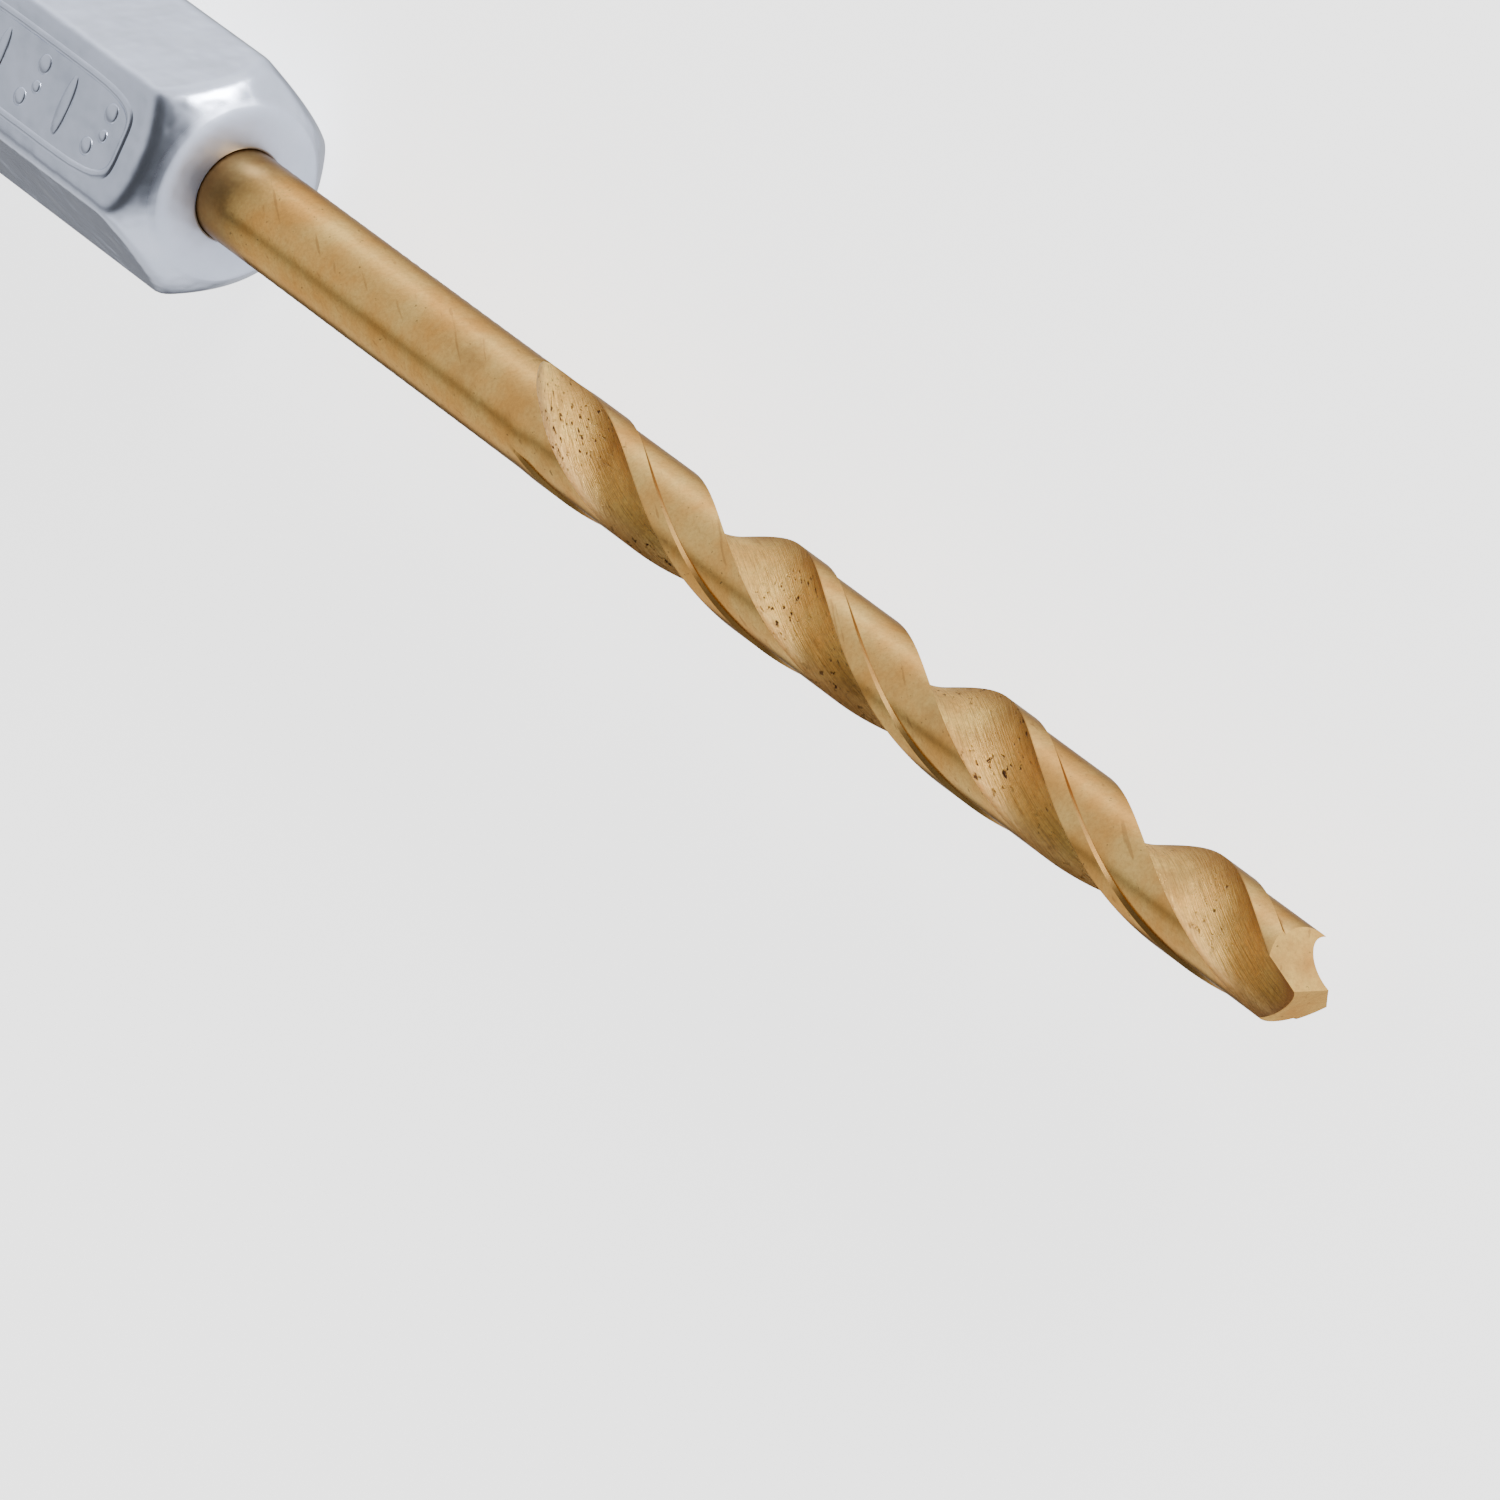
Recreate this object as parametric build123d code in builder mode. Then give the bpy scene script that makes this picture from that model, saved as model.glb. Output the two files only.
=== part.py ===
"""Hex-shank twist drill: a coated two-flute drill pressed into a hexagonal bit shank.

Axis along X with the point toward +X, origin at the centre of the shank's rear end,
+Z out of the marked flat.  Millimetres.
"""
import os
from math import asin, cos, degrees, radians, sin, sqrt, tan

from build123d import *

os.makedirs("parts", exist_ok=True)

# ---- driving dimensions of the drill -------------------------------------------------
DRILL_DIA = 2.78
HELIX_LEAD = 6.632 * DRILL_DIA
PROTRUSION = 49.03
FLUTED_LENGTH = 12.55 * DRILL_DIA
POINT_ANGLE = 118.0
FLANK_SLOPE = 22.0

NECK_RADIUS = 0.4905 * DRILL_DIA
MARGIN_RADIUS = 0.5 * DRILL_DIA
CLEARANCE_RADIUS = 0.462 * DRILL_DIA
CORE_RADIUS = 0.155 * DRILL_DIA
LAND_ANGLE = 87.0
MARGIN_ANGLE = 23.0
TIP_LEAD_ANGLE = 80.9
FLUTE_RUNOUT = 2.6 * DRILL_DIA
RUNOUT_STEPS = 6
MARGIN_START = 0.45 * DRILL_DIA
FACE_RADII = (1.0 * MARGIN_RADIUS, 0.75 * MARGIN_RADIUS, 0.5 * MARGIN_RADIUS)
ROOT_EASE = 0.9
HEEL_HOLLOW = 14.0
HEEL_HOLLOW_RADIUS = 0.6 * MARGIN_RADIUS

# ---- driving dimensions of the shank -------------------------------------------------
HEX_ACROSS_FLATS = 6.35
SHANK_LENGTH = 27.0
HEX_EDGE_FILLET = 0.35
REAR_CHAMFER_LENGTH = 1.0
REAR_CHAMFER_DEPTH = 0.8
NOSE_LENGTH = 1.3
NOSE_RADIUS = 0.45 * HEX_ACROSS_FLATS
LIP_LENGTH = 0.28
FACE_RADIUS = 0.39 * HEX_ACROSS_FLATS
GROOVE_CENTRE = 9.5
GROOVE_WIDTH = 3.2
GROOVE_RADIUS = 2.4
MOUTH_DEPTH = 0.1

# ---- how the two pieces hold each other ----------------------------------------------
BORE_DEPTH = 16.0
TAIL_END_GAP = 0.5
TAIL_FLAT_LENGTH = 7.0
TAIL_FLAT_HEIGHT = 0.39 * DRILL_DIA
TAIL_CHAMFER = 0.2

# ---- raised mark on the top flat -----------------------------------------------------
MARK_LENGTH = 9.6
MARK_WIDTH = 2.8
MARK_CORNER = 0.7
MARK_LINE = 0.25
MARK_RELIEF = 0.07
MARK_END_GAP = 1.5
MARK_DOT_RADIUS = 0.28
MARK_DOT_SPACING = 1.2
MARK_BAR_LENGTH = 1.8
MARK_BAR_WIDTH = 0.4
MARK_PITCH = 1.75
MARK_COUNT = 5

# ---- stations along the axis ---------------------------------------------------------
TIP_X = SHANK_LENGTH + PROTRUSION
BORE_END_X = SHANK_LENGTH - BORE_DEPTH
TAIL_X = BORE_END_X + TAIL_END_GAP
TAIL_SHOULDER_X = TAIL_X + TAIL_FLAT_LENGTH
FLUTE_START_X = TIP_X - FLUTED_LENGTH
FULL_FLUTE_X = FLUTE_START_X + FLUTE_RUNOUT
MARGIN_X = FLUTE_START_X + MARGIN_START
CUTTER_END_X = TIP_X + 0.1 * DRILL_DIA
CUTTER_REACH = 0.65 * DRILL_DIA
CUTTER_BULGE = 1.1 * CUTTER_REACH
CUTTER_OVERLAP = 2.0
FLUTE_ANGLE = 180.0 - LAND_ANGLE
LIP_SLOPE = 1.0 / tan(radians(0.5 * POINT_ANGLE))
HEX_CORNER_RADIUS = HEX_ACROSS_FLATS / sqrt(3.0)


def lead_angle(x):
    """Angle of the first land's cutting edge at a station along the axis."""
    return TIP_LEAD_ANGLE + 360.0 * (x - TIP_X) / HELIX_LEAD


def polar(radius, angle):
    """Point in a cross section, the angle running from +Y toward +Z."""
    return (radius * cos(radians(angle)), radius * sin(radians(angle)))


def lip_reach(radius):
    """Distance along the cutting lip of a point at the given radius."""
    return sqrt(radius**2 - CORE_RADIUS**2)


def face_angle(radius):
    """Angle by which the flute face leads the outer corner, so the ground lip is straight."""
    lip_offset = degrees(asin(CORE_RADIUS / radius) - asin(CORE_RADIUS / MARGIN_RADIUS))
    set_back = (lip_reach(MARGIN_RADIUS) - lip_reach(radius)) * LIP_SLOPE
    return lip_offset - 360.0 * set_back / HELIX_LEAD


def flute_section(x, turn, lift):
    """Outline the flute cutter sweeps in the cross section at x, lifted off the core."""
    lead = lead_angle(x) + turn
    heel = lead + FLUTE_ANGLE
    face = [polar(radius, lead + face_angle(radius)) for radius in FACE_RADII]
    root = polar(CORE_RADIUS, lead + ROOT_EASE * face_angle(CORE_RADIUS))
    heel_side = polar(HEEL_HOLLOW_RADIUS, heel - HEEL_HOLLOW)
    heel_corner = polar(CLEARANCE_RADIUS, heel)
    outer_face = polar(CUTTER_REACH, lead - CUTTER_OVERLAP)
    outer_middle = polar(CUTTER_BULGE, lead + 0.5 * FLUTE_ANGLE)
    outer_heel = polar(CUTTER_REACH, heel + CUTTER_OVERLAP)
    with BuildSketch(Plane.YZ.offset(x)) as section:
        with Locations(polar(lift, lead + 0.5 * FLUTE_ANGLE)):
            with BuildLine():
                floor = Spline(*face, root, heel_side, heel_corner)
                Line(floor @ 1, outer_heel)
                ThreePointArc(outer_heel, outer_middle, outer_face)
                Line(outer_face, floor @ 0)
            make_face()
    return section.sketch


def clearance_section(x, turn):
    """Sector ground away behind the margin in the cross section at x."""
    margin_end = lead_angle(x) + turn - MARGIN_ANGLE
    land_end = lead_angle(x) + turn - LAND_ANGLE - 2.0 * CUTTER_OVERLAP
    middle = 0.5 * (margin_end + land_end)
    with BuildSketch(Plane.YZ.offset(x)) as section:
        with BuildLine():
            inner = ThreePointArc(
                polar(CLEARANCE_RADIUS, land_end),
                polar(CLEARANCE_RADIUS, middle),
                polar(CLEARANCE_RADIUS, margin_end),
            )
            outer = ThreePointArc(
                polar(CUTTER_REACH, land_end),
                polar(CUTTER_REACH, middle),
                polar(CUTTER_REACH, margin_end),
            )
            Line(inner @ 0, outer @ 0)
            Line(inner @ 1, outer @ 1)
        make_face()
    return section.sketch


def drill_section(x):
    """Full-depth cross section: two margins, relieved lands and flutes round the core."""
    with BuildSketch(Plane.YZ.offset(x)) as section:
        Circle(MARGIN_RADIUS)
        for turn in (0.0, 180.0):
            add(clearance_section(x, turn), mode=Mode.SUBTRACT)
            add(flute_section(x, turn, 0.0), mode=Mode.SUBTRACT)
    return section.sketch


def axis_line(start, end):
    """Straight stretch of the drill axis."""
    return Edge.make_line((start, 0, 0), (end, 0, 0))


def lead_guide(start, end):
    """Helix of the drill's lead, which turns a section as it travels."""
    return Edge.make_helix(HELIX_LEAD, end - start, MARGIN_RADIUS, (start, 0, 0), (1, 0, 0))


def flank_plane(turn):
    """Ground flank behind one cutting lip, through the chisel edge."""
    corner_x = TIP_X - LIP_SLOPE * MARGIN_RADIUS
    lip = lead_angle(corner_x) + turn - degrees(asin(CORE_RADIUS / MARGIN_RADIUS))
    along = Vector(0, *polar(LIP_SLOPE, lip))
    across = Vector(0, *polar(tan(radians(FLANK_SLOPE)), lip + 90.0))
    return Plane(origin=(TIP_X, 0, 0), z_dir=Vector(1, 0, 0) + along - across)


# ---- twist drill ---------------------------------------------------------------------
with BuildPart() as drill_bit:
    # round bar: chamfered tail, plain neck and the slightly larger ground length
    with BuildSketch(Plane.XZ):
        with BuildLine():
            Polyline(
                (TAIL_X, 0),
                (TAIL_X, NECK_RADIUS - TAIL_CHAMFER),
                (TAIL_X + TAIL_CHAMFER, NECK_RADIUS),
                (MARGIN_X, NECK_RADIUS),
                (MARGIN_X + MARGIN_RADIUS - NECK_RADIUS, MARGIN_RADIUS),
                (FULL_FLUTE_X, MARGIN_RADIUS),
                (FULL_FLUTE_X, 0),
                close=True,
            )
        make_face()
    revolve(axis=Axis.X)

    # relieved land behind each margin along the run-out
    for turn in (0.0, 180.0):
        sweep(
            sections=clearance_section(MARGIN_X, turn),
            path=axis_line(MARGIN_X, FULL_FLUTE_X),
            binormal=lead_guide(MARGIN_X, FULL_FLUTE_X),
            mode=Mode.SUBTRACT,
        )

    # flute run-out, where the cutter climbs off the core
    for turn in (0.0, 180.0):
        runout = []
        for step in range(RUNOUT_STEPS + 1):
            climb = step / RUNOUT_STEPS
            lift = (MARGIN_RADIUS - CORE_RADIUS) * climb**2
            runout.append(flute_section(FULL_FLUTE_X - climb * FLUTE_RUNOUT, turn, lift))
        loft(sections=runout, mode=Mode.SUBTRACT)

    # full-depth fluted length
    sweep(
        sections=drill_section(FULL_FLUTE_X),
        path=axis_line(FULL_FLUTE_X, CUTTER_END_X),
        binormal=lead_guide(FULL_FLUTE_X, CUTTER_END_X),
    )

    # two ground flanks meeting in the chisel edge
    for turn in (0.0, 180.0):
        split(bisect_by=flank_plane(turn), keep=Keep.BOTTOM)

    # two flats on the tail that stop the drill turning in the shank
    for side in (1, -1):
        with BuildSketch(Plane.YZ.offset(TAIL_X)):
            with Locations((0, side * TAIL_FLAT_HEIGHT)):
                Rectangle(
                    DRILL_DIA,
                    NECK_RADIUS,
                    align=(Align.CENTER, Align.MIN if side > 0 else Align.MAX),
                )
        extrude(amount=TAIL_FLAT_LENGTH, mode=Mode.SUBTRACT)

# ---- hexagonal shank -----------------------------------------------------------------
with BuildPart() as hex_shank:
    with BuildSketch(Plane.YZ):
        RegularPolygon(0.5 * HEX_ACROSS_FLATS, 6, major_radius=False)
    extrude(amount=SHANK_LENGTH)
    fillet(hex_shank.edges().filter_by(Axis.X), HEX_EDGE_FILLET)

    # turned outline: chamfered rear end, detent groove, tapered nose
    with BuildSketch(Plane.XZ):
        with BuildLine():
            Polyline(
                (0, 0),
                (0, HEX_CORNER_RADIUS - REAR_CHAMFER_DEPTH),
                (REAR_CHAMFER_LENGTH, HEX_CORNER_RADIUS),
                (SHANK_LENGTH - NOSE_LENGTH, HEX_CORNER_RADIUS),
                (SHANK_LENGTH - LIP_LENGTH, NOSE_RADIUS),
                (SHANK_LENGTH, FACE_RADIUS),
                (SHANK_LENGTH, 0),
                close=True,
            )
        make_face()
    revolve(axis=Axis.X, mode=Mode.INTERSECT)

    # rounded groove for the holder's detent balls
    with BuildSketch(Plane.XZ):
        with BuildLine():
            groove = ThreePointArc(
                (GROOVE_CENTRE - 0.5 * GROOVE_WIDTH, HEX_CORNER_RADIUS),
                (GROOVE_CENTRE, GROOVE_RADIUS),
                (GROOVE_CENTRE + 0.5 * GROOVE_WIDTH, HEX_CORNER_RADIUS),
            )
            Line(groove @ 1, groove @ 0)
        make_face()
    revolve(axis=Axis.X, mode=Mode.SUBTRACT)

    # bore: flatted pocket for the tail, then round to the mouth
    with BuildSketch(Plane.YZ.offset(BORE_END_X)):
        Circle(NECK_RADIUS)
        Rectangle(DRILL_DIA, 2.0 * TAIL_FLAT_HEIGHT, mode=Mode.INTERSECT)
    extrude(amount=TAIL_SHOULDER_X - BORE_END_X, mode=Mode.SUBTRACT)
    with BuildSketch(Plane.YZ.offset(TAIL_SHOULDER_X)):
        Circle(NECK_RADIUS)
    extrude(amount=SHANK_LENGTH - TAIL_SHOULDER_X, mode=Mode.SUBTRACT)
    mouth = hex_shank.faces().sort_by(Axis.X)[-1].inner_wires()[0].edges()
    chamfer(mouth, MOUTH_DEPTH)

    # raised mark: a rounded frame around alternating pairs of dots and bars
    mark_centre = SHANK_LENGTH - MARK_END_GAP - 0.5 * MARK_LENGTH
    with BuildSketch(Plane.XY.offset(0.5 * HEX_ACROSS_FLATS)):
        with Locations((mark_centre, 0)):
            RectangleRounded(MARK_LENGTH, MARK_WIDTH, MARK_CORNER)
            RectangleRounded(
                MARK_LENGTH - 2.0 * MARK_LINE,
                MARK_WIDTH - 2.0 * MARK_LINE,
                MARK_CORNER - MARK_LINE,
                mode=Mode.SUBTRACT,
            )
        for index in range(MARK_COUNT):
            place = mark_centre + (index - 0.5 * (MARK_COUNT - 1)) * MARK_PITCH
            with Locations((place, 0)):
                if index % 2:
                    SlotOverall(MARK_BAR_LENGTH, MARK_BAR_WIDTH, rotation=90)
                else:
                    with GridLocations(0, MARK_DOT_SPACING, 1, 2):
                        Circle(MARK_DOT_RADIUS)
    extrude(amount=MARK_RELIEF)

drill_bit.part.label = "drill_bit"
hex_shank.part.label = "hex_shank"

export_step(drill_bit.part, "parts/drill_bit.step")
export_step(hex_shank.part, "parts/hex_shank.step")
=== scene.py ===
from math import asin, atan2, ceil, cos, degrees, pi, radians, sin, sqrt, tan

import bmesh
import bpy
from mathutils import Matrix, Vector
from mathutils.geometry import interpolate_bezier


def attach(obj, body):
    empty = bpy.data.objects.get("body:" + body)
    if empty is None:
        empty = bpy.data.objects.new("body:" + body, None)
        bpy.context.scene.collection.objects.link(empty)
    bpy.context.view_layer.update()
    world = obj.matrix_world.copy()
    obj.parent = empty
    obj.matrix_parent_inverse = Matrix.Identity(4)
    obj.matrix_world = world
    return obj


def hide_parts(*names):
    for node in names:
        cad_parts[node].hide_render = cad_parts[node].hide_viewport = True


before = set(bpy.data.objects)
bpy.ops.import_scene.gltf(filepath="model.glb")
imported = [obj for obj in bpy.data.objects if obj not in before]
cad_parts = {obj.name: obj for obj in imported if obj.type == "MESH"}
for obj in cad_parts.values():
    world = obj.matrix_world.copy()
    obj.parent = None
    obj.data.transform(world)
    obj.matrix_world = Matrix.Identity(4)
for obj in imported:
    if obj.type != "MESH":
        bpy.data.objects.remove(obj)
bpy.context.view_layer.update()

MM = 0.001

# ---- drill, in millimetres and degrees ----------------------------------------------------
DIA = 2.78
LEAD = 6.632 * DIA
SHANK_LENGTH = 27.0
TIP_X = 76.03
TAIL_X = 11.5
NECK_R = 0.4905 * DIA
MARGIN_R = 0.5 * DIA
LAND_R = 0.462 * DIA
CORE_R = 0.155 * DIA
LAND_ANGLE = 87.0
FLUTE_ANGLE = 180.0 - LAND_ANGLE
MARGIN_ANGLE = 23.0
TIP_LEAD_ANGLE = 80.9
FLUTE_START_X = TIP_X - 12.55 * DIA
RUNOUT = 2.6 * DIA
FULL_X = FLUTE_START_X + RUNOUT
MARGIN_X = FLUTE_START_X + 0.45 * DIA
MARGIN_RISE = 0.35 * DIA
LIP_SLOPE = 1.0 / tan(radians(59.0))
FLANK_SLOPE = tan(radians(22.0))

# flute floor: a cutting face down to the root, then a hollow up to the heel
ROOT_R = 1.15 * CORE_R
HEEL_TURN = 62.0
HOLLOW_PULL = 0.42 * MARGIN_R
FACE_STEPS = 14
HOLLOW_POINTS = 24

# the relieved land stops this far short of the next margin, which leaves a small step
MARGIN_STEP_ANGLE = 2.6

# the fluted bar runs past the point, and the two flanks cut it off
OVERRUN = 0.3
SPIN_STEPS = 300

# points of one half of the cross section, and the finish that each stretch has
MARGIN_STEPS = 8
FLUTE_STEPS = 34
LAND_STEPS = 22
HALF = MARGIN_STEPS + FLUTE_STEPS + LAND_STEPS
MARGIN_FINISH, FLUTE_FINISH, LAND_FINISH, POINT_FINISH = range(4)
ZONES = ((MARGIN_FINISH, 0, MARGIN_STEPS), (FLUTE_FINISH, MARGIN_STEPS, MARGIN_STEPS + FLUTE_STEPS),
         (LAND_FINISH, MARGIN_STEPS + FLUTE_STEPS, HALF))
POINT_UV_SPAN = 3.0

MERGE_GAP = 1e-5


def turned(radius, angle):
    """Point in a cross section, angle in degrees from +Y toward +Z."""
    return Vector((radius * cos(radians(angle)), radius * sin(radians(angle))))


def smooth(t):
    t = min(1.0, max(0.0, t))
    return t * t * (3.0 - 2.0 * t)


def spaced(start, step, end):
    """Stations from start, a step apart and short of end."""
    return [start + k * step for k in range(ceil((end - start) / step))]


def lead_angle(x):
    """Angle of the first cutting edge's outer corner at x."""
    return TIP_LEAD_ANGLE + 360.0 * (x - TIP_X) / LEAD


def face_angle(radius):
    """Angle by which the cutting face leads the outer corner at this radius."""
    offset = degrees(asin(CORE_R / radius) - asin(CORE_R / MARGIN_R))
    back = sqrt(MARGIN_R**2 - CORE_R**2) - sqrt(max(0.0, radius**2 - CORE_R**2))
    return offset - 360.0 * back * LIP_SLOPE / LEAD


def flute_profile():
    """Flute floor from the cutting edge over the core to the heel, for a lead angle of 0."""
    radii = (MARGIN_R - (MARGIN_R - ROOT_R) * k / FACE_STEPS for k in range(FACE_STEPS + 1))
    face = [turned(r, face_angle(r)) for r in radii]
    root = face[-1]
    along = (root - face[-2]).normalized()
    heel = turned(LAND_R, FLUTE_ANGLE)
    inward = turned(1.0, FLUTE_ANGLE + 180.0 - HEEL_TURN)
    hollow = interpolate_bezier(root, root + along * HOLLOW_PULL,
                                heel + inward * HOLLOW_PULL, heel, HOLLOW_POINTS)
    return face + [p.xy for p in hollow[1:]]


PROFILE = flute_profile()


def resample(points, count):
    """The same line through count + 1 evenly spaced points."""
    lengths = [0.0]
    for a, b in zip(points, points[1:]):
        lengths.append(lengths[-1] + (b - a).length)
    out, k = [], 0
    for step in range(count + 1):
        goal = lengths[-1] * step / count
        while k < len(points) - 2 and lengths[k + 1] < goal:
            k += 1
        gap = lengths[k + 1] - lengths[k]
        out.append(points[k].lerp(points[k + 1], (goal - lengths[k]) / gap if gap else 0.0))
    return out


def outer_radius(x, near_margin):
    """Outside of the drill at x: plain neck, then margin or relieved land."""
    full = MARGIN_R if near_margin else LAND_R
    return NECK_R + (full - NECK_R) * smooth((x - MARGIN_X) / MARGIN_RISE)


def rim_crossing(x, outer, inner, near_margin):
    """Point between outer and inner where the flute floor meets the outside of the bar."""
    for _ in range(24):
        middle = (outer + inner) / 2
        if middle.length < outer_radius(x, near_margin):
            inner = middle
        else:
            outer = middle
    return inner


def cut_profile(x):
    """Part of the flute floor left inside the bar at x, for a lead angle of 0."""
    climb = max(0.0, (FULL_X - x) / RUNOUT)
    if climb == 0.0:
        return PROFILE
    lift = turned((MARGIN_R - CORE_R) * climb**2, 0.5 * FLUTE_ANGLE)
    moved = [p + lift for p in PROFILE]
    split = len(moved) // 2
    inside = [p.length < outer_radius(x, k < split) for k, p in enumerate(moved)]
    if True not in inside:
        return None
    first, last = inside.index(True), len(inside) - 1 - inside[::-1].index(True)
    line = moved[first:last + 1]
    if first > 0:
        line = [rim_crossing(x, moved[first - 1], moved[first], True)] + line
    if last < len(moved) - 1:
        line = line + [rim_crossing(x, moved[last + 1], moved[last], False)]
    return line if len(line) > 1 else None


def section(x):
    """All points of the cross section at x, in step order round the drill."""
    line = cut_profile(x)
    if line is None:
        start_angle = end_angle = 0.5 * FLUTE_ANGLE
        line = [turned(outer_radius(x, True), start_angle)] * 2
    else:
        start_angle = degrees(atan2(line[0].y, line[0].x))
        end_angle = degrees(atan2(line[-1].y, line[-1].x))
    margin_r, land_r = outer_radius(x, True), outer_radius(x, False)
    land_end = 180.0 - MARGIN_ANGLE - MARGIN_STEP_ANGLE
    floor = resample(line, FLUTE_STEPS)
    ring = []
    for turn in (0.0, 180.0):
        lead = lead_angle(x) + turn
        for k in range(MARGIN_STEPS):
            share = k / MARGIN_STEPS
            ring.append(turned(margin_r, lead - MARGIN_ANGLE + (start_angle + MARGIN_ANGLE) * share))
        spin = Matrix.Rotation(radians(lead), 2)
        for k in range(FLUTE_STEPS):
            ring.append(spin @ floor[k])
        for k in range(LAND_STEPS):
            share = k / (LAND_STEPS - 1)
            ring.append(turned(land_r, lead + end_angle + (land_end - end_angle) * share))
    return ring


def place_section(verts, step, x):
    points = section(x)
    for v in verts:
        p = points[v[step]]
        v.co = (x, p.x, p.y)


def first_ring(bm, count):
    """Numbered ring of vertices to grow a piece from, with its edges and its number layer."""
    step = bm.verts.layers.int.new("step")
    ring = bmesh.ops.create_circle(bm, cap_ends=False, segments=count, radius=1.0)["verts"]
    for k, v in enumerate(ring):
        v[step] = k
    return ring, list({e for v in ring for e in v.link_edges}), step


def grow(bm, edges):
    """Extrude an edge ring and return its new vertices and edges."""
    made = bmesh.ops.extrude_edge_only(bm, edges=edges)["geom"]
    verts = [g for g in made if isinstance(g, bmesh.types.BMVert)]
    fresh = set(verts)
    ring = [g for g in made if isinstance(g, bmesh.types.BMEdge)
            and g.verts[0] in fresh and g.verts[1] in fresh]
    return verts, ring


def split_large_faces(bm):
    bmesh.ops.triangulate(bm, faces=[f for f in bm.faces if len(f.verts) > 4])


def sharpen(bm, angle):
    for f in bm.faces:
        f.smooth = True
    for e in bm.edges:
        e.smooth = not (e.is_manifold and e.calc_face_angle(0.0) > radians(angle))


def finish_piece(bm, name, materials, node):
    """Turn a bmesh in millimetres into a piece that stands for a CAD node."""
    bmesh.ops.scale(bm, vec=(MM, MM, MM), verts=bm.verts)
    bmesh.ops.recalc_face_normals(bm, faces=bm.faces)
    sharpen(bm, 30.0)
    mesh = bpy.data.meshes.new(name)
    bm.to_mesh(mesh)
    bm.free()
    for m in materials:
        mesh.materials.append(m)
    piece = bpy.data.objects.new(name, mesh)
    bpy.context.scene.collection.objects.link(piece)
    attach(piece, "root")
    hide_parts(node)
    return piece


def drill_stations():
    """Places where the drill's section is set: tail, neck and flute run-out."""
    mouth = SHANK_LENGTH - 1.5
    return ([TAIL_X + 0.2, TAIL_X + 6.0, mouth]
            + spaced(mouth + 0.5, 0.5, FLUTE_START_X - 0.3)
            + spaced(FLUTE_START_X - 0.2, 0.1, FULL_X - 0.05) + [FULL_X])


def spin_flutes(bm, edges):
    """Full-depth flutes: the last section turned along the lead."""
    reach = TIP_X + OVERRUN - FULL_X
    ring = edges + list({v for e in edges for v in e.verts})
    bmesh.ops.spin(bm, geom=ring, cent=(0, 0, 0), axis=(1, 0, 0), dvec=(reach / SPIN_STEPS, 0, 0),
                   steps=SPIN_STEPS, angle=2.0 * pi * reach / LEAD,
                   use_merge=False, use_duplicate=False)


def mark_finishes(bm, step, uv):
    """Finish and surface map of each face: across its stretch, and along the drill."""
    for f in bm.faces:
        steps = sorted({v[step] for v in f.verts})
        if len(steps) != 2:
            continue
        low, high = steps
        if high - low > 1:
            low = high
        half = low % HALF
        for finish, start, end in ZONES:
            if start <= half < end:
                f.material_index = finish
                for loop in f.loops:
                    across = (half - start + (0 if loop.vert[step] == low else 1)) / (end - start)
                    loop[uv].uv = (across, loop.vert.co.x)


def grind_point(bm, uv):
    """Two flat flanks through the chisel edge, each behind one cutting lip."""
    corner_x = TIP_X - LIP_SLOPE * MARGIN_R
    for turn in (0.0, 180.0):
        lip = lead_angle(corner_x) + turn - degrees(asin(CORE_R / MARGIN_R))
        along, across = turned(LIP_SLOPE, lip), turned(FLANK_SLOPE, lip + 90.0)
        normal = Vector((1.0, along.x - across.x, along.y - across.y)).normalized()
        cut = bmesh.ops.bisect_plane(bm, geom=bm.verts[:] + bm.edges[:] + bm.faces[:],
                                     dist=MERGE_GAP, plane_co=(TIP_X, 0, 0), plane_no=normal,
                                     clear_outer=True)["geom_cut"]
        rim = [g for g in cut if isinstance(g, bmesh.types.BMEdge) and g.is_boundary]
        for f in bmesh.ops.contextual_create(bm, geom=rim)["faces"]:
            f.material_index = POINT_FINISH
            for loop in f.loops:
                loop[uv].uv = (loop.vert.co.y / POINT_UV_SPAN, loop.vert.co.z / POINT_UV_SPAN)


def make_drill():
    bm = bmesh.new()
    uv = bm.loops.layers.uv.new("surface")
    verts, edges, step = first_ring(bm, 2 * HALF)
    tail_edges = edges
    tail_x, *stations = drill_stations()
    place_section(verts, step, tail_x)
    for x in stations:
        verts, edges = grow(bm, edges)
        place_section(verts, step, x)
    spin_flutes(bm, edges)
    mark_finishes(bm, step, uv)
    tail_end = bmesh.ops.holes_fill(bm, edges=tail_edges, sides=0)["faces"]
    bmesh.ops.inset_region(bm, faces=tail_end, thickness=0.2, depth=0.2)
    grind_point(bm, uv)
    bmesh.ops.remove_doubles(bm, verts=bm.verts, dist=MERGE_GAP)
    split_large_faces(bm)
    return finish_piece(bm, "twist_drill", DRILL_MATERIALS, "drill_bit")


# ---- hexagonal shank, in millimetres ------------------------------------------------------
FLAT_R = 3.175
EDGE_FILLET = 0.38
FILLET_CENTRE_R = (FLAT_R - EDGE_FILLET) / cos(radians(30.0))
CORNER_R = FILLET_CENTRE_R + EDGE_FILLET
REAR_R = 2.9
REAR_SLOPE = 0.9
GROOVE_X = 9.5
GROOVE_HALF = 1.6
GROOVE_R = 2.4
GROOVE_REACH = 2.2
NOSE_LENGTH = 1.3
NOSE_R = 0.9 * FLAT_R
NOSE_REAR_R = CORNER_R + 0.1
FACE_R = 0.78 * FLAT_R
LIP_LENGTH = 0.28
SHANK_STEPS = 240
BORE_GAP = 0.003

# how wide the turned surfaces blend into each other
LIP_BLEND = 0.35
CHAMFER_BLEND = 0.25
GROOVE_BLEND = 0.2
FLAT_BLEND = 0.3

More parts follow.
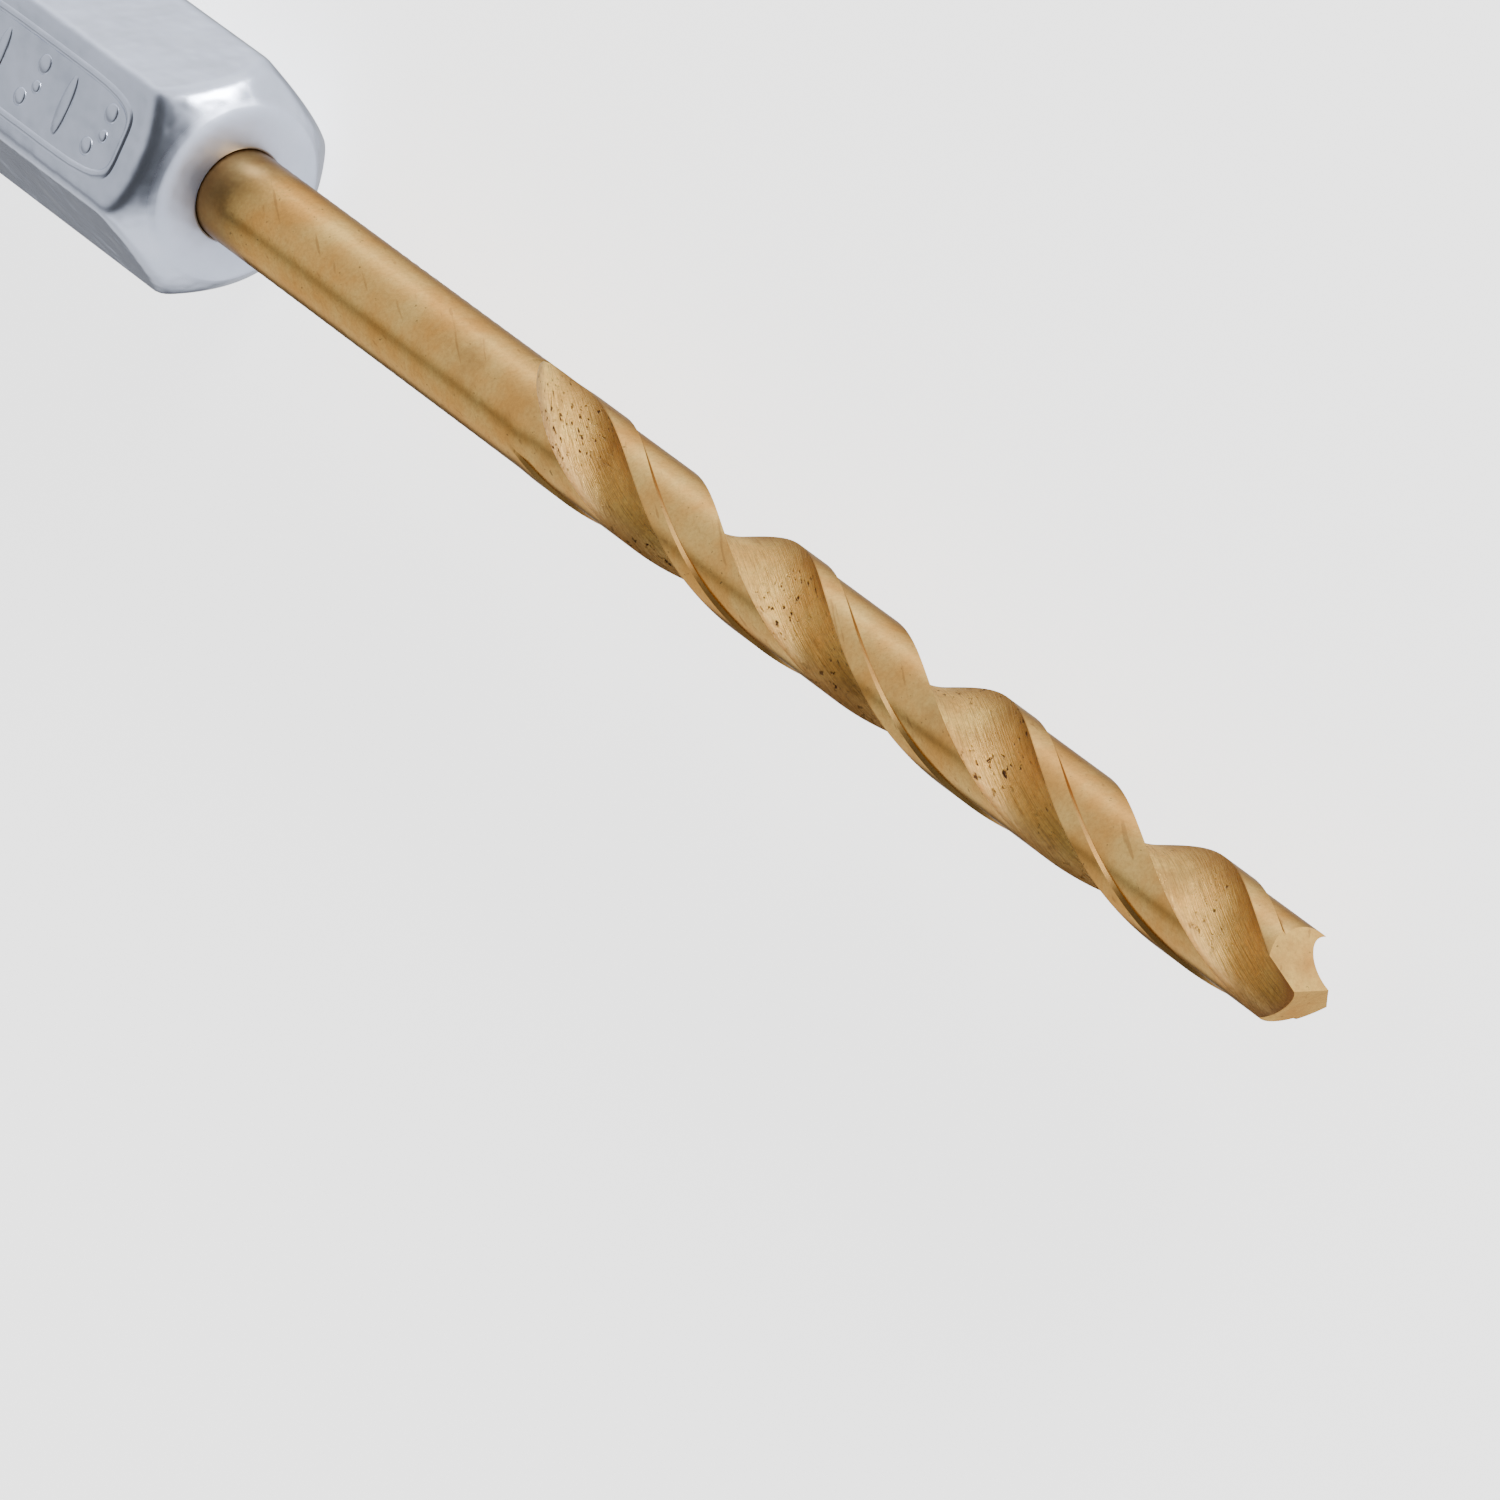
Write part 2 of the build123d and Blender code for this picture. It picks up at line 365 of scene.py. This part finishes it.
MARK_LENGTH = 9.6
MARK_WIDTH = 2.8
MARK_CENTRE = SHANK_LENGTH - 1.5 - 0.5 * MARK_LENGTH
MARK_PITCH = 1.75
MARK_CORNERS = 5
RAIL_STEPS = 96
RAIL_WIDTH = 0.30
RAIL_HEIGHT = 0.065
RAIL_SINK = 0.02
DOT_HEIGHT = 0.075
DOT_SINK = 0.006


def soft_min(a, b, width):
    """The smaller of two radii, rounded off where they come within width of each other."""
    blend = max(width - abs(a - b), 0.0) / width
    return min(a, b) - blend * blend * width * 0.25


def hex_radius(angle):
    """Distance from the axis to the filleted hexagon, with a flat facing +Z."""
    off = abs((angle + 30.0) % 60.0 - 30.0)
    tangent = degrees(atan2((FLAT_R - EDGE_FILLET) * tan(radians(30.0)), FLAT_R))
    if off <= tangent:
        return FLAT_R / cos(radians(off))
    away = radians(30.0 - off)
    return FILLET_CENTRE_R * cos(away) + sqrt(EDGE_FILLET**2 - (FILLET_CENTRE_R * sin(away))**2)


def turned_radius(x):
    """Turned outline of the shank: rear chamfer, detent groove and nose."""
    chamfer = REAR_R + REAR_SLOPE * x
    back = SHANK_LENGTH - x
    nose = NOSE_R + (back - LIP_LENGTH) * (NOSE_REAR_R - NOSE_R) / (NOSE_LENGTH - LIP_LENGTH)
    nose = soft_min(nose, FACE_R + back * (NOSE_R - FACE_R) / LIP_LENGTH, LIP_BLEND)
    outline = soft_min(chamfer, nose, CHAMFER_BLEND)
    off = abs(x - GROOVE_X)
    if off < GROOVE_REACH:
        arc = (GROOVE_HALF**2 + (CORNER_R - GROOVE_R)**2) / (2.0 * (CORNER_R - GROOVE_R))
        if off < arc:
            outline = soft_min(outline, GROOVE_R + arc - sqrt(arc**2 - off**2), GROOVE_BLEND)
    return outline


def mark_outline(angle, inset):
    """Point of the mark's rounded outline, inset from its edge."""
    half_x, half_y = 0.5 * MARK_LENGTH - inset, 0.5 * MARK_WIDTH - inset
    c, s = cos(radians(angle)), sin(radians(angle))
    size = (abs(c)**MARK_CORNERS + abs(s)**MARK_CORNERS)**(-1.0 / MARK_CORNERS)
    return MARK_CENTRE + half_x * c * size, half_y * s * size


def add_mark_rail(bm, step):
    """Rounded rail round the mark, closed below the flat."""
    ring = bmesh.ops.create_circle(bm, cap_ends=False, segments=RAIL_STEPS, radius=1.0)["verts"]
    for k, v in enumerate(ring):
        v[step] = k

    def place_rail(verts, share):
        for v in verts:
            x, y = mark_outline(360.0 * v[step] / RAIL_STEPS, RAIL_WIDTH * share)
            v.co = (x, y, FLAT_R - RAIL_SINK + (RAIL_HEIGHT + RAIL_SINK) * sin(pi * share))

    place_rail(ring, 0.0)
    edges = list({e for v in ring for e in v.link_edges})
    rail = list(ring)
    for share in (0.12, 0.27, 0.42, 0.58, 0.73, 0.88, 1.0, 0.0):
        verts, edges = grow(bm, edges)
        place_rail(verts, share)
        rail += verts
    bmesh.ops.remove_doubles(bm, verts=rail, dist=1e-4)


def add_mark_dots(bm):
    """Groups of three dots with a bar between them, which spell nothing."""
    dots = []
    for k in range(5):
        x = MARK_CENTRE + (k - 2) * MARK_PITCH
        if k % 2 == 0:
            dots += [(x + 0.25, 0.62, 0.30, 0.30), (x - 0.2, -0.55, 0.27, 0.27),
                     (x + 0.3, -0.05, 0.2, 0.2)]
        else:
            dots.append((x, 0.0, 0.26, 0.92))
    for x, y, half_x, half_y in dots:
        ball = bmesh.ops.create_icosphere(bm, subdivisions=3, radius=1.0)["verts"]
        bmesh.ops.scale(bm, vec=(half_x, half_y, DOT_HEIGHT), verts=ball)
        bmesh.ops.translate(bm, vec=(x, y, FLAT_R - DOT_SINK), verts=ball)


def shank_stations():
    """Close stations at the chamfer, the groove and the nose, and a few along the flats."""
    chamfer = spaced(0.12, 0.12, 1.4)
    groove = spaced(GROOVE_X - 2.1, 0.12, GROOVE_X + 2.15)
    nose = spaced(SHANK_LENGTH - 1.5, 0.05, SHANK_LENGTH - 0.08)
    return (chamfer + [1.8, 3.0, 5.0, 7.0] + groove
            + [12.5, 15.0, 18.0, 21.0, 23.5, 24.0, 25.0, 25.4] + nose)


def make_shank():
    bm = bmesh.new()
    verts, edges, step = first_ring(bm, SHANK_STEPS)

    def place_ring(verts, x, radius=None):
        for v in verts:
            angle = 360.0 * v[step] / SHANK_STEPS
            r = radius or soft_min(hex_radius(angle), turned_radius(x), FLAT_BLEND)
            p = turned(r, angle + 90.0)
            v.co = (x, p.x, p.y)

    place_ring(verts, 0.0)
    rear_edges = edges
    for x in shank_stations():
        verts, edges = grow(bm, edges)
        place_ring(verts, x)
    # rounded end of the nose, flat face, and mouth of the bore, each by its distance back
    for back, radius in ((0.04, FACE_R - 0.06), (0.015, FACE_R - 0.16), (0.0, FACE_R - 0.32),
                         (0.0, NECK_R + 0.08), (0.01, NECK_R + 0.04), (0.03, NECK_R + 0.015),
                         (0.07, NECK_R + 0.004), (0.5, NECK_R + BORE_GAP), (1.6, NECK_R + BORE_GAP)):
        verts, edges = grow(bm, edges)
        place_ring(verts, SHANK_LENGTH - back, radius)
    bmesh.ops.holes_fill(bm, edges=edges, sides=0)
    bmesh.ops.holes_fill(bm, edges=rear_edges, sides=0)
    split_large_faces(bm)
    add_mark_rail(bm, step)
    add_mark_dots(bm)
    return finish_piece(bm, "hex_shank_body", [SHANK_STEEL], "hex_shank")


# ---- materials ----------------------------------------------------------------------------
GOLD = (0.71, 0.37, 0.095)
GOLD_PALE = (0.80, 0.52, 0.165)
POINT_GOLD = (0.86, 0.55, 0.155)
FLUTE_GOLD = (0.93, 0.56, 0.16)
FLUTE_PALE = (1.0, 0.70, 0.22)
GOLD_BROWN = (0.38, 0.20, 0.065)
LIP_BROWN = (0.40, 0.155, 0.06)
# painted shade colour for the flute along the cutting face
CUTTING_FACE_SHADE = (0.26, 0.135, 0.05)
# painted shade colour toward the flute's heel
HEEL_SHADE_GREY = (0.44, 0.31, 0.17)
# dark colour of the real pits and specks, also used for the painted shade at the shank's mouth
SOOT_AND_MOUTH_SHADE = (0.09, 0.052, 0.028)
COATING_RIM_TINT = (0.62, 0.55, 0.51, 1.0)
STEEL_DARK = (0.50, 0.55, 0.68)
STEEL_PALE = (0.70, 0.76, 0.92)
GROUND_ROUGHNESS = 0.24
FLUTE_ROUGHNESS = 0.42
SHANK_ROUGHNESS = 0.25
FACE_ROUGHNESS = 0.5
GRINDING_TURN = 0.24
PLACE_SPAN = 100.0 * MM


class Nodes:
    """Short names for building a node tree."""

    def __init__(self, name):
        self.material = bpy.data.materials.new(name)
        self.material.use_nodes = True
        self.tree = self.material.node_tree
        self.tree.nodes.clear()
        output = self.add("ShaderNodeOutputMaterial")
        self.shader = self.add("ShaderNodeBsdfPrincipled")
        self.link(self.shader.outputs[0], output.inputs["Surface"])

    def add(self, kind, **values):
        node = self.tree.nodes.new(kind)
        for key, value in values.items():
            setattr(node, key, value)
        return node

    def link(self, source, target):
        self.tree.links.new(source, target)

    def feed(self, socket, value):
        """Link a socket, or set it to a number or a colour."""
        if isinstance(value, bpy.types.NodeSocket):
            self.link(value, socket)
        else:
            socket.default_value = (*value, 1.0) if hasattr(value, "__len__") else value

    def split(self, vector):
        node = self.add("ShaderNodeSeparateXYZ")
        self.link(vector, node.inputs[0])
        return node.outputs

    def noise(self, vector, scale, detail, rough):
        node = self.add("ShaderNodeTexNoise")
        node.inputs["Scale"].default_value = scale
        node.inputs["Detail"].default_value = detail
        node.inputs["Roughness"].default_value = rough
        self.link(vector, node.inputs["Vector"])
        return node.outputs["Fac"]

    def ramp(self, value, *stops):
        """Levels by position, with straight runs between them."""
        node = self.add("ShaderNodeValToRGB")
        elements = node.color_ramp.elements
        while len(elements) < len(stops):
            elements.new(0.5)
        for element, (position, level) in zip(elements, stops):
            element.position = position
            element.color = (level, level, level, 1.0)
        self.link(value, node.inputs["Fac"])
        return node.outputs["Color"]

    def mix(self, factor, a, b):
        node = self.add("ShaderNodeMix", data_type="RGBA")
        self.feed(node.inputs["Factor"], factor)
        self.feed(node.inputs[6], a)
        self.feed(node.inputs[7], b)
        return node.outputs[2]

    def maths(self, kind, a, b=0.0):
        node = self.add("ShaderNodeMath", operation=kind)
        self.feed(node.inputs[0], a)
        self.feed(node.inputs[1], b)
        return node.outputs[0]

    def times(self, a, b):
        return self.maths("MULTIPLY", a, b)

    def mapped(self, vector, scale, rotation=(0, 0, 0)):
        node = self.add("ShaderNodeMapping")
        node.inputs["Scale"].default_value = scale
        node.inputs["Rotation"].default_value = rotation
        self.link(vector, node.inputs["Vector"])
        return node.outputs[0]

    def bump(self, height, strength, distance):
        node = self.add("ShaderNodeBump")
        node.inputs["Strength"].default_value = strength
        node.inputs["Distance"].default_value = distance
        self.link(height, node.inputs["Height"])
        self.link(node.outputs[0], self.shader.inputs["Normal"])


def along_tool(n, place, *stops):
    """Levels by distance in millimetres from the rear end of the tool."""
    return n.ramp(n.times(place[0], 1.0 / PLACE_SPAN),
                  *((x * MM / PLACE_SPAN, level) for x, level in stops))


def behind_lips(n, place):
    """Millimetres along the axis behind the cone that the two cutting lips lie on."""
    off_axis = n.maths("SQRT", n.maths("ADD", n.times(place[1], place[1]), n.times(place[2], place[2])))
    cone = n.maths("SUBTRACT", TIP_X * MM, n.times(off_axis, LIP_SLOPE))
    return n.times(n.maths("SUBTRACT", cone, place[0]), 1.0 / MM)


def flute_floor(n, colour, coords, place, uv):
    """Grinding lines, a brown band behind the cutting lips, painted shade along the cutting face's edge
    and at the heel, worn patches and sooty pits.
    """
    across = n.split(uv)[0]
    # grinding lines run a little steeper than the flute itself
    turned_uv = n.mapped(n.mapped(uv, (2.0, 1.0, 1.0)), (1.0, 1.0, 1.0), (0, 0, GRINDING_TURN))
    lines = n.noise(n.mapped(turned_uv, (34.0, 0.8, 1.0)), 1.0, 5.0, 0.7)
    colour = n.mix(n.ramp(lines, (0.38, 0.6), (0.52, 0.0)), colour, GOLD_BROWN)
    # painted shade: darker in the flute's hollow along the cutting face's edge
    edge = n.ramp(across, (0.0, 1.0), (0.08, 0.7), (0.3, 0.0))
    colour = n.mix(n.times(edge, 0.75), colour, CUTTING_FACE_SHADE)
    lip = n.ramp(behind_lips(n, place), (0.0, 0.85), (0.14, 0.7), (0.4, 0.3), (0.95, 0.0))
    colour = n.mix(lip, colour, LIP_BROWN)
    # painted shade: greyer and darker toward the heel, to tone down the side lamp's highlight there
    colour = n.mix(n.ramp(across, (0.7, 0.0), (1.0, 0.8)), colour, HEEL_SHADE_GREY)
    worn = n.ramp(n.noise(coords, 380.0, 5.0, 0.65), (0.47, 0.0), (0.62, 0.45))
    colour = n.mix(worn, colour, GOLD_BROWN)
    # pits come in groups, and there are few near the point
    groups = n.ramp(n.noise(coords, 420.0, 2.0, 0.5), (0.44, 0.0), (0.60, 1.0))
    groups = n.times(groups, along_tool(n, place, (72.0, 1.0), (74.0, 0.1)))
    pits = n.ramp(n.noise(n.mapped(turned_uv, (8.0, 3.4, 1.0)), 1.0, 3.0, 0.6),
                  (0.59, 0.0), (0.65, 1.0))
    pits = n.times(pits, groups)
    n.bump(n.maths("SUBTRACT", lines, pits), 0.9, 0.000045)
    return n.mix(pits, colour, SOOT_AND_MOUTH_SHADE)


def ground_outside(n, colour, coords, place, uv):
    """Hairline scratches, brown patches, specks, and a line of painted shade at the margin's step."""
    drawn = n.mapped(n.mapped(coords, (1.0, 1.0, 1.0), (0.4, 0.1, 0.5)), (350.0, 5200.0, 5200.0))
    hairs = n.ramp(n.noise(drawn, 1.0, 2.0, 0.4), (0.68, 0.0), (0.74, 0.55))
    colour = n.mix(hairs, colour, GOLD_BROWN)
    patches = n.ramp(n.noise(coords, 300.0, 5.0, 0.7), (0.56, 0.0), (0.75, 0.6))
    colour = n.mix(patches, colour, GOLD_BROWN)
    specks = n.ramp(n.noise(coords, 5200.0, 2.0, 0.6), (0.70, 0.0), (0.74, 0.6))
    colour = n.mix(specks, colour, SOOT_AND_MOUTH_SHADE)
    # painted shade: a dark line along the land's step to the next margin, only on the fluted part,
    # which tones down a bright reflection there
    step = n.ramp(n.split(uv)[0], (0.93, 0.0), (0.96, 0.5))
    fluted = along_tool(n, place, (42.3, 0.0), (43.2, 1.0))
    n.bump(n.noise(coords, 2600.0, 4.0, 0.6), 0.10, 0.00002)
    return n.mix(n.times(step, fluted), colour, GOLD_BROWN)


def coated(name, deep, pale, surface, roughness):
    """Gold nitride coating, cloudy between two golds, with painted shade where it enters the shank."""
    n = Nodes(name)
    coords = n.add("ShaderNodeTexCoord").outputs["Object"]
    uv = n.add("ShaderNodeUVMap", uv_map="surface").outputs[0]
    place = n.split(coords)
    cloud = n.ramp(n.noise(coords, 650.0, 4.0, 0.6), (0.38, 0.0), (0.66, 1.0))
    grain = n.ramp(n.noise(coords, 9000.0, 3.0, 0.7), (0.3, 0.35), (0.6, 0.0))
    colour = n.mix(grain, n.mix(cloud, deep, pale), GOLD_BROWN)
    colour = surface(n, colour, coords, place, uv)
    # painted shade on the drill where it enters the shank's mouth, which also tones down the front
    # face's reflection there
    mouth = along_tool(n, place, (26.8, 1.0), (28.0, 0.7), (30.0, 0.0))
    colour = n.mix(n.times(mouth, 0.85), colour, SOOT_AND_MOUTH_SHADE)
    n.link(colour, n.shader.inputs["Base Color"])
    n.shader.inputs["Metallic"].default_value = 1.0
    n.shader.inputs["Specular Tint"].default_value = COATING_RIM_TINT
    n.shader.inputs["Roughness"].default_value = roughness
    return n.material


def shank_finish():
    """Satin steel with a soft ripple on the flats and a duller front face."""
    n = Nodes("shank_steel")
    coords = n.add("ShaderNodeTexCoord").outputs["Object"]
    colour = n.mix(n.noise(coords, 700.0, 4.0, 0.55), STEEL_DARK, STEEL_PALE)
    n.link(colour, n.shader.inputs["Base Color"])
    n.shader.inputs["Metallic"].default_value = 1.0
    face = n.add("ShaderNodeMapRange")
    face.inputs["From Min"].default_value = (SHANK_LENGTH - 0.3) * MM
    face.inputs["From Max"].default_value = (SHANK_LENGTH - 0.03) * MM
    face.inputs["To Min"].default_value = SHANK_ROUGHNESS
    face.inputs["To Max"].default_value = FACE_ROUGHNESS
    n.link(n.split(coords)[0], face.inputs["Value"])
    n.link(face.outputs[0], n.shader.inputs["Roughness"])
    n.bump(n.noise(coords, 380.0, 3.0, 0.5), 0.6, 0.00025)
    return n.material


# in the order of the finish numbers
DRILL_MATERIALS = [coated("coated_margin", GOLD, GOLD_PALE, ground_outside, GROUND_ROUGHNESS),
                   coated("coated_flute", FLUTE_GOLD, FLUTE_PALE, flute_floor, FLUTE_ROUGHNESS),
                   coated("coated_land", GOLD, GOLD_PALE, ground_outside, GROUND_ROUGHNESS),
                   coated("coated_point", GOLD, POINT_GOLD, ground_outside, GROUND_ROUGHNESS)]
SHANK_STEEL = shank_finish()

make_drill()
make_shank()

# ---- floor, surround, camera and light ----------------------------------------------------
FLOOR_HALF = 3.0
FLOOR_DROP = 0.02
FLOOR_BASE = 0.88
FLOOR_GLOW = 2.2
SURROUND_STRENGTH = 1.6
CAMERA_LENS = 272.772
CAMERA_PLACE = (260.861, 56.630, 197.534)
CAMERA_TURN = (14.6343, 45.6235, 36.3875)
TOOL_MIDDLE = Vector((0.05, 0.0, 0.0))

# level of the surround by angle about the tool: from -Y under it to +Y, and over it back to -Y
STRIPS = ((-179, 0.6), (-168, 0.75), (-152, 0.6), (-144, 0.09), (-129, 0.09), (-119, 0.5),
          (-86, 0.5), (-68, 0.36), (-50, 0.55), (-30, 0.88), (-14, 0.95), (-5, 1.3),
          (4, 1.25), (14, 1.0), (34, 0.68), (56, 0.56), (104, 0.57), (117, 0.44), (125, 0.2),
          (131, 0.2), (139, 0.36), (152, 0.52), (168, 0.56), (179, 0.6))


def make_floor():
    """Pale floor just under the tool, left out of the reflections in the metal."""
    mesh = bpy.data.meshes.new("floor")
    bm = bmesh.new()
    bmesh.ops.create_grid(bm, x_segments=1, y_segments=1, size=FLOOR_HALF)
    bmesh.ops.translate(bm, vec=(0.0, 0.0, -(FLAT_R + FLOOR_DROP) * MM), verts=bm.verts)
    bm.to_mesh(mesh)
    bm.free()
    floor = bpy.data.objects.new("floor", mesh)
    bpy.context.scene.collection.objects.link(floor)
    floor.visible_glossy = False
    pale = Nodes("pale_floor")
    pale.shader.inputs["Base Color"].default_value = (FLOOR_BASE, FLOOR_BASE, FLOOR_BASE, 1.0)
    pale.shader.inputs["Roughness"].default_value = 0.9
    pale.shader.inputs["Emission Color"].default_value = (1.0, 1.0, 1.0, 1.0)
    pale.shader.inputs["Emission Strength"].default_value = FLOOR_GLOW
    mesh.materials.append(pale.material)


def make_surround():
    """Studio of long strips beside the tool, joined to a plain end beyond its point."""
    world = bpy.data.worlds.new("studio")
    bpy.context.scene.world = world
    world.use_nodes = True
    sky = world.node_tree

    def map_range(source, *limits):
        node = sky.nodes.new("ShaderNodeMapRange")
        for socket, value in zip(("From Min", "From Max", "To Min", "To Max"), limits):
            node.inputs[socket].default_value = value
        sky.links.new(source, node.inputs["Value"])
        return node.outputs[0]

    look = sky.nodes.new("ShaderNodeTexCoord")
    parts = sky.nodes.new("ShaderNodeSeparateXYZ")
    sky.links.new(look.outputs["Generated"], parts.inputs[0])
    around = sky.nodes.new("ShaderNodeMath")
    around.operation = "ARCTAN2"
    sky.links.new(parts.outputs["Z"], around.inputs[0])
    sky.links.new(parts.outputs["Y"], around.inputs[1])
    strips = sky.nodes.new("ShaderNodeValToRGB")
    sky.links.new(map_range(around.outputs[0], -pi, pi, 0.0, 1.0), strips.inputs["Fac"])
    stops = strips.color_ramp.elements
    for index, (angle, level) in enumerate(STRIPS):
        # a ramp starts with two stops, and each new one goes in last
        stop = stops[index] if index < 2 else stops.new(0.99)
        stop.position = (angle + 180.0) / 360.0
        stop.color = (level, level, level, 1.0)
    # the end beyond the point is pale below and dark overhead
    end_level = map_range(parts.outputs["Z"], 0.35, 0.64, 1.0, 0.05)
    end_share = map_range(parts.outputs["X"], -0.3, 0.0, 0.0, 1.0)
    join = sky.nodes.new("ShaderNodeMix")
    join.data_type = "RGBA"
    sky.links.new(end_share, join.inputs["Factor"])
    sky.links.new(strips.outputs["Color"], join.inputs[6])
    sky.links.new(end_level, join.inputs[7])
    background = sky.nodes["Background"]
    sky.links.new(join.outputs[2], background.inputs["Color"])
    background.inputs["Strength"].default_value = SURROUND_STRENGTH


def make_camera():
    data = bpy.data.cameras.new("camera")
    data.sensor_width = 36.0
    data.lens = CAMERA_LENS
    data.clip_start = 0.01
    data.clip_end = 20.0
    camera = bpy.data.objects.new("camera", data)
    camera.location = [MM * value for value in CAMERA_PLACE]
    camera.rotation_euler = [radians(value) for value in CAMERA_TURN]
    bpy.context.scene.collection.objects.link(camera)
    bpy.context.scene.camera = camera


def softbox(name, place, size, power):
    """Square area light at a place seen from the tool's middle, facing it."""
    lamp = bpy.data.lights.new(name, "AREA")
    lamp.size = size
    lamp.energy = power
    box = bpy.data.objects.new(name, lamp)
    box.location = TOOL_MIDDLE + Vector(place)
    box.rotation_euler = (TOOL_MIDDLE - box.location).to_track_quat("-Z", "Y").to_euler()
    bpy.context.scene.collection.objects.link(box)


make_floor()
make_surround()
make_camera()
softbox("side", (0.23, 0.62, 0.08), 0.3, 9.0)
